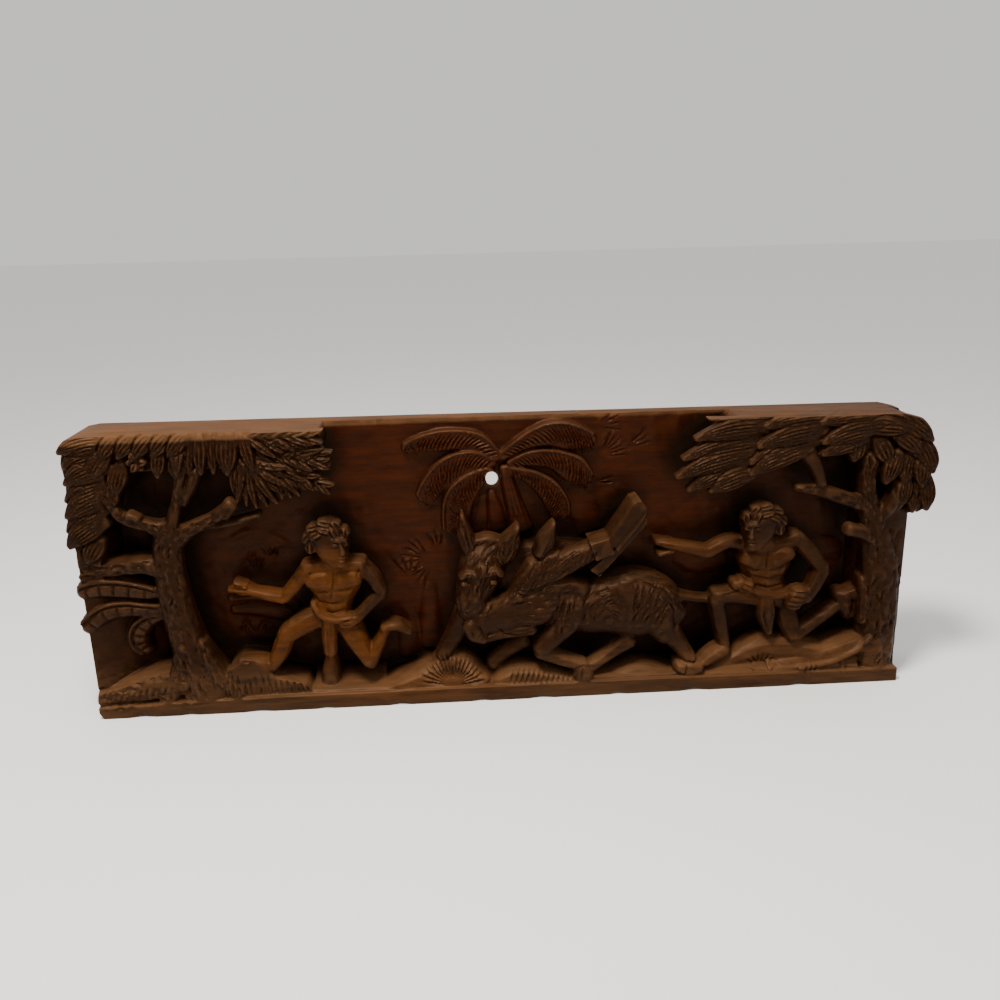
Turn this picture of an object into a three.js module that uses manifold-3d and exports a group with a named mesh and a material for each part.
// A wall panel carved in deep relief from one plank: two herdsmen and two carabaos between
// two spreading trees, with a palm behind them and a nail hole under its crown.
// Millimetres, +Z up, the carved side faces -Y, the origin is the middle of the underside.
import * as THREE from "three";
import { mergeVertices } from "three/addons/utils/BufferGeometryUtils.js";
import Module from "manifold-3d";

const wasm = await Module();
wasm.setup();

// The plank
const BOARD_LENGTH = 670;
const LEFT_HEIGHT = 237;
const RIGHT_HEIGHT = 232;
const BOARD_THICKNESS = 15;
const RELIEF_DEPTH = 42;
const LEFT_OVERHANG = 8;
const RIGHT_OVERHANG = 22;
const BASE_HEIGHT = 13;
const LEFT_BORDER = 34;
const RIGHT_BORDER = 26;

// The nail hole
const HOLE_DIAMETER = 11;
const HOLE_FROM_PALM = 10;
const HOLE_BELOW_PALM = 14;

// The figures, each by its own size and by the place that it stands on
const LEFT_MAN_HEIGHT = 130;
const LEFT_MAN_X = -140;
const LEFT_MAN_FOOT = 32;
const RIGHT_MAN_HEIGHT = 140;
const RIGHT_MAN_X = 225;
const RIGHT_MAN_FOOT = 20;
const FRONT_CARABAO_LENGTH = 175;
const FRONT_CARABAO_X = 60;
const FRONT_CARABAO_FOOT = 15;
const REAR_CARABAO_HEIGHT = 130;
const REAR_CARABAO_X = -20;
const REAR_CARABAO_FOOT = 30;
const PALM_SPAN = 155;
const PALM_X = 5;
const PALM_CROWN = 196;

// How finely rods and curves are cut, and how far forms run into the plank
const FINE = 8;
const COARSE = 6;
const LEAF_SIDES = 5;
const BITE = -0.1;

// What the seams between forms are cleaned to
const SEAM_SLACK = 0.15;
const SMALLEST_FACE = 0.01;
const EASING_PASSES = 3;

const DEPTH = BOARD_THICKNESS + RELIEF_DEPTH;
const BACK = DEPTH / 2;
const FACE = BACK - BOARD_THICKNESS;
const FRONT = -DEPTH / 2;
const LEFT_END = -BOARD_LENGTH / 2;
const RIGHT_END = BOARD_LENGTH / 2;
const SPARE = 10;

// Depths are shares of the relief: 0 lies on the board's face, 1 on the plank's front.
const depthAt = (share) => FACE - share * RELIEF_DEPTH;

// The sawn top edge runs down a little from the left end to the right end.
const topAt = (x) => THREE.MathUtils.mapLinear(x, LEFT_END, RIGHT_END, LEFT_HEIGHT, RIGHT_HEIGHT);

function solid(geometry) {
  const bare = geometry.index ? geometry.toNonIndexed() : geometry.clone();
  bare.deleteAttribute("normal");
  bare.deleteAttribute("uv");
  const merged = mergeVertices(bare, 1e-4);
  return new wasm.Manifold(
    new wasm.Mesh({
      numProp: 3,
      vertProperties: merged.attributes.position.array,
      triVerts: new Uint32Array(merged.index.array),
    }),
  );
}

const join = (solids) => solids.reduce((whole, next) => whole.add(next));

// A rounded rod through stations of [x, z, half width, back, front]. It is a sphere whose
// rings are laid along the smooth line through the stations and whose poles close the ends.
function rod(stations, sides = FINE, spans = 2) {
  const centres = new THREE.CatmullRomCurve3(
    stations.map(([x, z, , back, front]) => new THREE.Vector3(x, depthAt((back + front) / 2), z)),
    false,
    "centripetal",
  );
  const sizes = new THREE.CatmullRomCurve3(
    stations.map(([, , wide, back, front]) => new THREE.Vector3(wide, ((front - back) / 2) * RELIEF_DEPTH, 0)),
    false,
    "centripetal",
  );
  const steps = (stations.length - 1) * spans;
  const ball = new THREE.SphereGeometry(1, sides, steps + 2);
  const spots = ball.attributes.position;
  const acrossRelief = new THREE.Vector3(0, -1, 0);
  for (let i = 0; i < spots.count; i++) {
    const unit = new THREE.Vector3().fromBufferAttribute(spots, i);
    const ring = Math.round((Math.acos(THREE.MathUtils.clamp(unit.y, -1, 1)) / Math.PI) * (steps + 2));
    const t = THREE.MathUtils.clamp((ring - 1) / steps, 0, 1);
    const along = centres.getTangent(t);
    along.y = 0;
    along.normalize();
    const aside = new THREE.Vector3().crossVectors(acrossRelief, along);
    const size = sizes.getPoint(t);
    const spot = centres.getPoint(t);
    const girth = Math.hypot(unit.x, unit.z);
    if (girth < 1e-6) {
      const cap = Math.min(size.x, size.y) * 0.6 * Math.sign(t - 0.5);
      spot.addScaledVector(along, cap);
    } else {
      spot.addScaledVector(aside, (unit.x / girth) * size.x);
      spot.addScaledVector(acrossRelief, (unit.z / girth) * size.y);
    }
    spots.setXYZ(i, spot.x, spot.y, spot.z);
  }
  return solid(ball);
}

// A flat piece cut to an outline of [x, z] points, between two depths
function slab(outline, back, front) {
  const shape = new THREE.Shape(outline.map(([x, z]) => new THREE.Vector2(x, z)));
  const cut = new THREE.ExtrudeGeometry(shape, {
    depth: (front - back) * RELIEF_DEPTH,
    bevelEnabled: false,
  });
  cut.rotateX(Math.PI / 2);
  cut.translate(0, depthAt(back), 0);
  return solid(cut);
}

// A place given in hundredths of a figure's size, counted from where it stands
const scaled = (x, foot, size) => (rows) =>
  rows.map(([px, pz, wide, back, front]) => [
    x + (px * size) / 100,
    foot + (pz * size) / 100,
    (wide * size) / 100,
    back,
    front,
  ]);

// A long leaf from its root outwards, at an angle in degrees, for the crowns and the grass
function leaf(x, z, length, degrees, wide, back, front) {
  const way = THREE.MathUtils.degToRad(degrees);
  const along = (share) => [x + Math.cos(way) * length * share, z + Math.sin(way) * length * share];
  return rod(
    [
      [...along(0), wide * 0.5, back, front * 0.93],
      [...along(0.55), wide, back, front],
      [...along(1), wide * 0.35, back, front * 0.86],
    ],
    LEAF_SIDES,
    1,
  );
}

// A spray: leaves that fan out from one root
function spray([x, z, length, from, to, count, front = 1], wide) {
  return Array.from({ length: count }, (_, i) => {
    const turn = count > 1 ? i / (count - 1) : 0.5;
    const reach = length * (1 - 0.18 * Math.abs(2 * turn - 1));
    return leaf(x, z, reach, THREE.MathUtils.lerp(from, to, turn), wide, 0.3, front);
  });
}

function plank() {
  const middle = (LEFT_END + RIGHT_END) / 2;
  const tallest = Math.max(LEFT_HEIGHT, RIGHT_HEIGHT) + SPARE;
  const board = new THREE.BoxGeometry(BOARD_LENGTH, BOARD_THICKNESS + SPARE, tallest + SPARE);
  board.translate(middle, FACE + (BOARD_THICKNESS + SPARE) / 2, (tallest - SPARE) / 2);
  const base = new THREE.BoxGeometry(BOARD_LENGTH, DEPTH + SPARE, BASE_HEIGHT + SPARE);
  base.translate(middle, SPARE / 2, (BASE_HEIGHT - SPARE) / 2);
  return [solid(board), solid(base)];
}

// The borders at both ends keep the plank's full thickness and slope back into the hollow.
function border(end, inwards, wide, full) {
  const side = new THREE.Shape([
    new THREE.Vector2(end, FACE + SPARE / 2),
    new THREE.Vector2(end, FRONT - SPARE),
    new THREE.Vector2(end + inwards * wide * full, FRONT - SPARE),
    new THREE.Vector2(end + inwards * wide * full, FRONT),
    new THREE.Vector2(end + inwards * wide, FACE + SPARE / 2),
  ]);
  const tall = Math.max(LEFT_HEIGHT, RIGHT_HEIGHT) + 2 * SPARE;
  const wedge = new THREE.ExtrudeGeometry(side, { depth: tall, bevelEnabled: false });
  wedge.translate(0, 0, -SPARE);
  return solid(wedge);
}

// The blank that everything is carved from: nothing stands outside its faces.
function blank() {
  const left = LEFT_END - LEFT_OVERHANG;
  const right = RIGHT_END + RIGHT_OVERHANG;
  const side = new THREE.Shape([
    new THREE.Vector2(left, 0),
    new THREE.Vector2(right, 0),
    new THREE.Vector2(right, topAt(right)),
    new THREE.Vector2(left, topAt(left)),
  ]);
  const cut = new THREE.ExtrudeGeometry(side, { depth: DEPTH, bevelEnabled: false });
  cut.rotateX(Math.PI / 2);
  cut.translate(0, BACK, 0);
  return solid(cut);
}

// Trees and crowns are placed by the plank's own height from the end that they stand at.
const fromLeft = (x, z) => [LEFT_END + (x * LEFT_HEIGHT) / 100, (z * LEFT_HEIGHT) / 100];
const fromRight = (x, z) => [RIGHT_END - (x * RIGHT_HEIGHT) / 100, (z * RIGHT_HEIGHT) / 100];
const grown = (place, height) => (rows) =>
  rows.map(([x, z, wide, back, front]) => [...place(x, z), (wide * height) / 100, back, front]);

function leftTree() {
  const at = grown(fromLeft, LEFT_HEIGHT);
  return [
    rod(at([[37, 4, 12, BITE, 1], [33, 18, 8, 0.1, 1], [30, 34, 6.3, 0.35, 1], [29, 48, 5.6, 0.4, 1], [29, 65, 4.6, 0.45, 0.98]])),
    rod(at([[31.5, 64, 2.8, 0.5, 0.9], [34.5, 77, 2.2, 0.55, 0.9], [36.7, 90, 2.8, 0.5, 0.95]]), COARSE),
    rod(at([[35.5, 75, 1.8, 0.55, 0.85], [38, 81, 1.7, 0.55, 0.85], [41, 88, 1.9, 0.5, 0.8]]), COARSE, 1),
    rod(at([[29, 66, 3, 0.5, 0.95], [21, 70, 2.3, 0.5, 0.95], [13.5, 75, 2.1, 0.5, 0.95], [10.5, 83, 2, 0.5, 0.9]]), COARSE, 1),
    rod(at([[30, 62, 3.4, 0.5, 0.95], [41, 68.5, 2.3, 0.55, 0.95], [51, 74, 2.6, 0.6, 1]]), COARSE),
    rod(at([[48, 67, 1.3, 0.5, 0.8], [60, 70.5, 1.4, 0.45, 0.8], [66, 75, 1.5, 0.3, 0.8]]), COARSE, 1),
    rod(at([[28, 47, 3.6, 0.3, 0.95], [15, 54, 3, 0.3, 0.9], [0, 52, 3.6, 0.2, 1]]), COARSE),
    rod(at([[23, 44, 2, 0.3, 0.9], [11, 46, 4, 0.2, 0.95], [-1, 42.5, 3, 0.2, 1]]), COARSE),
    rod(at([[22, 39, 2, 0.3, 0.9], [11, 37, 4.3, 0.2, 0.9], [0, 32.5, 3, 0.2, 1]]), COARSE),
    rod(at([[24, 35, 1.8, 0.3, 0.85], [15, 32, 3.2, 0.2, 0.8], [11.5, 23, 3.2, 0.1, 0.7]]), COARSE),
    rod(at([[1, 4, 5, BITE, 1], [14, 8, 5.5, BITE, 1], [28, 12, 6, BITE, 1]]), COARSE),
    rod(at([[46, 8, 5, BITE, 0.95], [50, 15, 7, BITE, 0.9], [55, 8, 7, BITE, 0.95]]), COARSE, 1),
    rod(at([[77, 4, 5, BITE, 0.6], [79, 16, 3.4, BITE, 0.45]]), COARSE, 1),
  ];
}

function rightTree() {
  const at = grown(fromRight, RIGHT_HEIGHT);
  return [
    rod(at([[6, 3, 9.5, 0.1, 1], [4, 22, 8, 0.2, 1], [4, 36, 8, 0.2, 1], [6, 49, 6.5, 0.3, 1], [11, 60, 5, 0.4, 1], [15, 70, 3.6, 0.45, 0.95], [15.5, 86, 3, 0.4, 0.9]])),
    rod(at([[11, 61, 3.2, 0.45, 0.95], [6.5, 71, 2.3, 0.5, 0.95], [3, 80, 2.6, 0.5, 0.95]]), COARSE, 1),
    rod(at([[14, 65, 2.8, 0.5, 0.95], [24, 70, 2.2, 0.55, 0.95], [34, 73.5, 2, 0.5, 0.9], [42, 75, 1.3, 0.5, 0.8]]), COARSE, 1),
    rod(at([[34, 73, 2, 0.5, 0.9], [34, 80, 2.1, 0.45, 0.9], [37, 88, 2.8, 0.4, 0.9]]), COARSE, 1),
    rod(at([[8, 52, 3, 0.4, 0.9], [17, 59, 2.4, 0.5, 0.95], [24, 60, 2.2, 0.55, 0.95]]), COARSE, 1),
    rod(at([[45, 5, 6, BITE, 0.9], [30, 8, 7, BITE, 0.95], [17, 15, 5, BITE, 1], [11, 18, 2.5, 0, 1]]), COARSE, 1),
    rod(at([[60, 3, 6, BITE, 0.8], [53, 9, 5, BITE, 0.6], [46, 5, 5, BITE, 0.8]]), COARSE, 1),
  ];
}

function crown(place, height, outline, sprays, wide) {
  const mass = slab(outline.map(([x, z]) => place(x, z)), BITE, 0.8);
  const leaves = sprays.flatMap(([x, z, length, ...rest]) => spray([...place(x, z), (length * height) / 100, ...rest], wide));
  return [mass, ...leaves];
}

function leftCrown() {
  const outline = [
    [-2, 94], [1, 104], [86, 104], [87, 84], [78, 81], [72, 78], [61, 75], [54, 77], [53, 85],
    [40, 86.5], [22, 86.5], [16, 81], [12, 73], [7, 65], [0, 64], [-2.5, 80],
  ];
  const sprays = [
    [22, 100, 12, 235, 255, 2], [32, 101, 11, 238, 250, 2], [42, 101, 10, 240, 252, 2],
    [15, 94, 17, 150, 225, 4], [18, 86, 21, 195, 250, 4], [16, 76, 17, 200, 275, 4],
    [21, 92, 13, 245, 295, 3], [53, 100, 24, 255, 275, 3], [62, 94, 26, -28, 18, 5],
    [77, 86, 14, -80, 5, 4], [59, 84, 19, 248, 318, 5], [28, 87, 4, 80, 260, 2],
  ];
  return crown(fromLeft, LEFT_HEIGHT, outline, sprays, 4.2);
}

function rightCrown() {
  const outline = [
    [70, 104], [4, 104], [-5, 97], [-8.5, 88], [-8.5, 77], [-6, 65], [-1.5, 65], [3, 71], [7.5, 78.5],
    [14, 84], [22, 88], [35, 88], [41, 87], [46, 83], [52, 79.5], [62, 76], [71, 78.5], [79, 77], [81, 86], [76, 94],
  ];
  const sprays = [
    [56, 94, 19, 150, 205, 4], [62, 89, 20, 180, 218, 4], [68, 82, 17, 170, 255, 4],
    [48, 88, 16, 195, 265, 4], [30, 95, 24, 188, 225, 4], [24, 92, 20, -5, 40, 3],
    [5, 90, 24, 245, 290, 4], [12, 84, 11, 215, 300, 3], [8, 98, 13, -10, 55, 3],
  ];
  return crown(fromRight, RIGHT_HEIGHT, outline, sprays, 4.2);
}

function leftMan() {
  const at = scaled(LEFT_MAN_X, LEFT_MAN_FOOT, LEFT_MAN_HEIGHT);
  return [
    rod(at([[5, 71, 7, 0.35, 0.85], [3, 83, 11.5, 0.2, 0.95], [1, 95, 8.5, 0.25, 0.85]])),
    rod(at([[-9, 80, 4, 0.2, 0.7], [-6, 93, 4, 0.25, 0.8], [4, 99, 4, 0.3, 0.85]]), COARSE, 1),
    rod(at([[4, 64, 5, 0.25, 0.7], [4, 75, 5, 0.25, 0.7]]), COARSE, 1),
    rod(at([[1, 31, 12, BITE, 0.75], [1, 42, 10, BITE, 0.7], [3, 56, 14, BITE, 0.8], [3, 65, 13, 0, 0.7]])),
    rod(at([[-12, 64, 5, 0.2, 0.7], [3, 65, 5, 0.1, 0.7], [19, 64, 5, 0.2, 0.7]]), COARSE, 1),
    rod(at([[-13, 64, 5, 0.2, 0.7], [-31, 47, 4.2, 0.3, 0.75], [-50, 50, 3, 0.3, 0.65]]), COARSE),
    rod(at([[-49, 50, 3, 0.2, 0.65], [-57, 52, 4.5, 0.1, 0.6], [-64, 55, 3, 0.1, 0.5]]), COARSE, 1),
    rod(at([[20, 63, 5, 0.2, 0.7], [28, 48, 4.5, 0.2, 0.7], [16, 34, 4, 0.3, 0.75]]), COARSE),
    rod(at([[-7, 30, 8.5, 0.1, 0.75], [-30, 26, 6.5, 0.25, 0.85], [-37, 14, 5.5, 0.3, 0.85], [-44, 2, 3.8, 0.35, 0.8]])),
    rod(at([[-43, 2, 4, 0.35, 0.85], [-60, 4, 3.2, 0.35, 0.8]]), COARSE, 1),
    rod(at([[10, 29, 8.5, 0.1, 0.75], [16, 12, 7, 0.3, 0.85], [21, 0, 5.5, 0.35, 0.85]]), COARSE),
    rod(at([[22, 0, 5.5, 0.35, 0.8], [28, 10, 4.8, 0.3, 0.75], [34, 21, 3.6, 0.2, 0.65]]), COARSE, 1),
    rod(at([[33, 21, 3.6, 0.15, 0.65], [46, 21, 3.2, 0.15, 0.6]]), COARSE, 1),
    rod(at([[-12, 35, 3, 0.2, 0.8], [1, 31, 3.2, 0.3, 0.85], [16, 34, 3, 0.2, 0.8]]), COARSE, 1),
    rod(at([[-4, 31, 5, 0.45, 0.88], [-5, 7, 4.5, 0.5, 0.85]]), COARSE, 1),
  ];
}

function rightMan() {
  const at = scaled(RIGHT_MAN_X, RIGHT_MAN_FOOT, RIGHT_MAN_HEIGHT);
  return [
    rod(at([[-6, 75, 6, 0.35, 0.8], [-4, 87, 10.5, 0.15, 0.9], [-2, 97, 7.5, 0.2, 0.8]])),
    rod(at([[3, 84, 4, 0.2, 0.7], [5, 93, 4.5, 0.2, 0.75], [-3, 100, 3.5, 0.3, 0.8]]), COARSE, 1),
    rod(at([[-3, 68, 4.5, 0.2, 0.65], [-4, 77, 4.5, 0.2, 0.65]]), COARSE, 1),
    rod(at([[0, 40, 11, BITE, 0.7], [0, 50, 9.5, BITE, 0.65], [0, 61, 13, BITE, 0.75], [0, 70, 12, 0, 0.65]])),
    rod(at([[-15, 70, 4.5, 0.2, 0.65], [0, 71, 4.5, 0.1, 0.65], [16, 73, 4.5, 0.2, 0.65]]), COARSE, 1),
    rod(at([[-15, 70, 4.6, 0.25, 0.65], [-37, 69, 3.8, 0.35, 0.7], [-57, 75, 2.6, 0.3, 0.6]]), COARSE),
    rod(at([[-56, 75, 2.6, 0.1, 0.6], [-66, 77, 3, BITE, 0.5]]), COARSE, 1),
    rod(at([[16, 73, 4.6, 0.2, 0.65], [29, 61, 4, 0.25, 0.7], [26, 46, 3.2, 0.35, 0.8]]), COARSE),
    rod(at([[25, 45, 4, 0.35, 0.85], [17, 37, 6, 0.4, 0.95]]), COARSE, 1),
    rod(at([[-9, 41, 6.5, 0.1, 0.7], [-32, 38, 5.2, 0.2, 0.75]]), COARSE),
    rod(at([[-32, 39, 5, 0.2, 0.72], [-29, 24, 4.4, 0.15, 0.6], [-28, 9, 3.4, 0.15, 0.6]]), COARSE, 1),
    rod(at([[-27, 6, 3.4, 0.15, 0.75], [-41, 0, 3.2, 0.2, 0.8]]), COARSE, 1),
    rod(at([[11, 36, 6.8, 0.1, 0.7], [18, 15, 5.5, 0.3, 0.85]]), COARSE),
    rod(at([[18, 16, 5, 0.3, 0.8], [39, 31, 3.6, 0.2, 0.65]]), COARSE),
    rod(at([[38, 31, 3.6, 0.1, 0.65], [53, 33, 3.6, 0.1, 0.6]]), COARSE, 1),
    rod(at([[-11, 42, 2.8, 0.2, 0.78], [0, 39, 3, 0.3, 0.8], [12, 41, 2.8, 0.2, 0.78]]), COARSE, 1),
    rod(at([[-1, 38, 4.5, 0.45, 0.85], [1, 16, 4.5, 0.5, 0.82]]), COARSE, 1),
  ];
}

function frontCarabao() {
  const at = scaled(FRONT_CARABAO_X, FRONT_CARABAO_FOOT, FRONT_CARABAO_LENGTH);
  const horn = at([
    [-15, 48, 0, 0, 0], [6, 56, 0, 0, 0], [20, 50, 0, 0, 0], [35, 83, 0, 0, 0], [31, 88, 0, 0, 0],
    [15, 69, 0, 0, 0], [-14, 66, 0, 0, 0],
  ]).map(([x, z]) => [x, z]);
  return [
    rod(at([[0, 34, 14, BITE, 0.85], [17, 35, 16, BITE, 0.92], [33, 35, 17.5, BITE, 0.95], [44, 31, 16, BITE, 0.88], [49, 28, 9, 0, 0.7]])),
    rod(at([[4, 39, 12, 0.1, 0.85], [-14, 41, 11.5, 0.2, 0.95], [-27, 37, 10.5, 0.3, 1], [-39, 30, 7, 0.4, 1], [-48, 26, 5, 0.5, 0.98]])),
    rod(at([[-19, 55, 4.5, 0.3, 0.85], [-15, 66, 3.8, 0.35, 0.85], [-10, 77, 1.6, 0.4, 0.8]]), COARSE, 1),
    slab(horn, 0.35, 0.8),
    rod(at([[-1, 38, 7.5, 0.4, 0.98], [-13, 20, 5, 0.5, 1], [-20, 14, 4.2, 0.5, 1]]), COARSE),
    rod(at([[-20, 14, 4, 0.5, 0.98], [-9, 9, 3, 0.5, 0.95], [-2, 4, 3, 0.5, 0.95], [5, 2, 4.4, 0.4, 1]]), COARSE, 1),
    rod(at([[28, 20, 5, 0.3, 0.75], [16, 11, 3.2, 0.4, 0.8], [7, 4, 3, 0.45, 0.85]]), COARSE),
    rod(at([[46, 23, 6.5, 0.2, 0.8], [51, 13, 3.8, 0.4, 0.85], [54, 4, 3.6, 0.4, 0.9]]), COARSE, 1),
    rod(at([[50, 1, 3.5, 0.35, 1], [60, 1, 3.5, 0.35, 0.95]]), COARSE, 1),
    rod(at([[46, 38, 2.6, 0.3, 0.65], [57, 37, 2, 0.3, 0.55], [67, 34, 2, 0.3, 0.6]]), COARSE, 1),
  ];
}

function rearCarabao() {
  const at = scaled(REAR_CARABAO_X, REAR_CARABAO_FOOT, REAR_CARABAO_HEIGHT);
  return [
    rod(at([[8, 82, 8, 0, 0.6], [5, 69, 14, 0, 0.75], [2, 55, 14.5, 0, 0.82], [-3, 43, 10, 0.1, 0.85], [-7, 34, 7, 0.2, 0.8]])),
    rod(at([[-3, 72, 5.5, 0.1, 0.55], [-8, 98, 2, 0.15, 0.45]]), COARSE),
    rod(at([[13, 74, 6, 0.1, 0.6], [22, 85, 6, 0.15, 0.6], [27, 92, 3.5, 0.2, 0.55]]), COARSE, 1),
    rod(at([[10, 52, 16, BITE, 0.5], [46, 50, 16, BITE, 0.5]]), COARSE, 1),
    rod(at([[-10, 32, 6.5, 0.2, 0.7], [-17, 20, 4.5, 0.25, 0.65], [-23, 6, 3.8, 0.2, 0.75]]), COARSE, 1),
    rod(at([[27, 15, 4, 0.1, 0.4], [18, 9, 3.6, 0.15, 0.45], [6, -6, 3, 0.2, 0.5]]), COARSE, 1),
  ];
}

function palm() {
  const at = scaled(PALM_X, PALM_CROWN, PALM_SPAN);
  const low = (rows, front) => at(rows.map(([x, z, wide]) => [x, z, wide, BITE, front]));
  return [
    rod(low([[-4, 7, 3], [-23, 15, 6], [-39, 14, 6], [-52, 10, 3]], 0.16), COARSE),
    rod(low([[-4, 2, 3], [-25, 2, 6.5], [-37, -6, 6.5], [-45, -16, 3.5]], 0.19), COARSE),
    rod(low([[-6, -4, 2.5], [-21, -12, 6.5], [-27, -23, 6.5], [-30, -36, 4]], 0.21), COARSE),
    rod(low([[-1, 6, 2.5], [13, 13.5, 5], [29, 15.5, 6.5], [47, 9, 5]], 0.2), COARSE),
    rod(low([[4.5, 0, 2.5], [22.5, 2.5, 5], [37, -2.5, 6], [43, -13, 4]], 0.17), COARSE),
    rod(low([[4, -3, 2.5], [20, -9, 6], [29, -19, 6], [31, -31, 3.5]], 0.19), COARSE),
    rod(low([[0.5, 2, 3.5], [6.5, -20, 4], [12, -42, 4.5]], 0.22), COARSE, 1),
    rod(low([[-6, -20, 6], [-7, -44, 13]], 0.15), COARSE, 1),
    rod(low([[44, -22, 6], [46, -50, 9]], 0.12), COARSE, 1),
    rod(low([[-40, -60, 6], [-42, -88, 10], [-36, -112, 8]], 0.12), COARSE, 1),
  ];
}

// Tufts of grass stand on the base in front of the animals.
function grass() {
  const tuft = (x, z, length, from, to, count, front) => spray([x, z, length, from, to, count, front], 3.6);
  return [
    ...tuft(-46, BASE_HEIGHT, 27, 20, 150, 7, 0.98),
    ...tuft(2, BASE_HEIGHT - 3, 18, 25, 75, 3, 0.95),
    ...tuft(222, BASE_HEIGHT - 2, 12, 40, 140, 3, 0.96),
    rod([[-80, 10, 12, BITE, 0.9], [-40, 14, 16, BITE, 0.8], [20, 10, 12, BITE, 0.85]], COARSE, 1),
  ];
}

function nailHole() {
  const drill = new THREE.CylinderGeometry(HOLE_DIAMETER / 2, HOLE_DIAMETER / 2, 2 * DEPTH, 16);
  drill.translate(PALM_X - HOLE_FROM_PALM, 0, PALM_CROWN - HOLE_BELOW_PALM);
  return solid(drill);
}

const carving = [
  ...plank(),
  border(LEFT_END, 1, LEFT_BORDER, 0.06),
  border(RIGHT_END, -1, RIGHT_BORDER, 0.5),
  ...leftTree(),
  ...rightTree(),
  ...leftCrown(),
  ...rightCrown(),
  ...leftMan(),
  ...rightMan(),
  ...frontCarabao(),
  ...rearCarabao(),
  ...palm(),
  ...grass(),
];
const whole = join(carving).intersect(blank()).subtract(nailHole());

// Pockets that are closed all round, between crossing leaves, are filled: of the shells that
// the vertices fall into, only the one with the most triangles is kept.
function outerShell(index, vertexCount) {
  const parent = Array.from({ length: vertexCount }, (_, i) => i);
  const find = (i) => {
    while (parent[i] !== i) {
      parent[i] = parent[parent[i]];
      i = parent[i];
    }
    return i;
  };
  for (let i = 0; i < index.length; i += 3) {
    parent[find(index[i])] = find(index[i + 1]);
    parent[find(index[i + 1])] = find(index[i + 2]);
  }
  const shells = new Map();
  for (let i = 0; i < index.length; i += 3) {
    const shell = find(index[i]);
    if (!shells.has(shell)) shells.set(shell, []);
    shells.get(shell).push(index[i], index[i + 1], index[i + 2]);
  }
  return [...shells.values()].sort((a, b) => b.length - a.length)[0];
}

// Crossing forms leave slivers along their seams. A vertex is drawn into its nearest
// neighbour wherever that moves the surface by less than the slack and folds nothing over.
function eased(bare, slack) {
  const spots = [];
  for (let i = 0; i < bare.attributes.position.count; i++) {
    spots.push(new THREE.Vector3().fromBufferAttribute(bare.attributes.position, i));
  }
  const faces = [];
  for (let i = 0; i < bare.index.count; i += 3) {
    faces.push([0, 1, 2].map((corner) => bare.index.array[i + corner]));
  }
  const around = spots.map(() => new Set());
  faces.forEach((face, f) => face.forEach((v) => around[v].add(f)));
  const ringOf = (v) => new Set([...around[v]].flatMap((f) => faces[f].filter((w) => w !== v)));
  const normalOf = (face, from, to) => {
    const [a, b, c] = face.map((v) => spots[v === from ? to : v]);
    return new THREE.Vector3().subVectors(b, a).cross(new THREE.Vector3().subVectors(c, a));
  };

  const fits = (f, v, u) => {
    const before = normalOf(faces[f], v, v);
    const after = normalOf(faces[f], v, u);
    if (after.length() < SMALLEST_FACE) return false;
    if (before.length() < SMALLEST_FACE) return true;
    const drift = Math.abs(before.dot(new THREE.Vector3().subVectors(spots[u], spots[v])));
    return drift < slack * before.length() && after.dot(before) > 0.5 * after.length() * before.length();
  };

  const drawnInto = (v) => {
    const ring = ringOf(v);
    const nearest = [...ring].sort((a, b) => spots[a].distanceTo(spots[v]) - spots[b].distanceTo(spots[v]));
    return nearest.find((u) => {
      const shared = [...ringOf(u)].filter((w) => ring.has(w));
      if (shared.length !== 2) return false;
      return [...around[v]].every((f) => faces[f].includes(u) || fits(f, v, u));
    });
  };

  for (let pass = 0; pass < EASING_PASSES; pass++) {
    for (let v = 0; v < spots.length; v++) {
      if (around[v].size === 0) continue;
      const u = drawnInto(v);
      if (u === undefined) continue;
      for (const f of [...around[v]]) {
        if (faces[f].includes(u)) {
          faces[f].forEach((w) => around[w].delete(f));
          faces[f] = [];
        } else {
          faces[f] = faces[f].map((w) => (w === v ? u : w));
          around[u].add(f);
        }
      }
      around[v].clear();
    }
  }
  const geometry = new THREE.BufferGeometry().setFromPoints(faces.flat().map((v) => spots[v]));
  geometry.computeVertexNormals();
  return geometry;
}

// The finished solid as a three.js mesh
function meshOf(made, material) {
  const cut = made.getMesh();
  const spots = new Float32Array(cut.numVert * 3);
  for (let i = 0; i < cut.numVert; i++) {
    spots.set(cut.vertProperties.subarray(i * cut.numProp, i * cut.numProp + 3), i * 3);
  }
  const geometry = new THREE.BufferGeometry();
  geometry.setAttribute("position", new THREE.BufferAttribute(spots, 3));
  geometry.setIndex(outerShell(cut.triVerts, cut.numVert));
  return new THREE.Mesh(eased(geometry, SEAM_SLACK), material);
}

const wood = new THREE.MeshStandardMaterial({ color: 0x4a2512, roughness: 0.42, metalness: 0 });
const panel = meshOf(whole, wood);
panel.name = "carved_panel";
const group = new THREE.Group();
group.add(panel);
export default group;
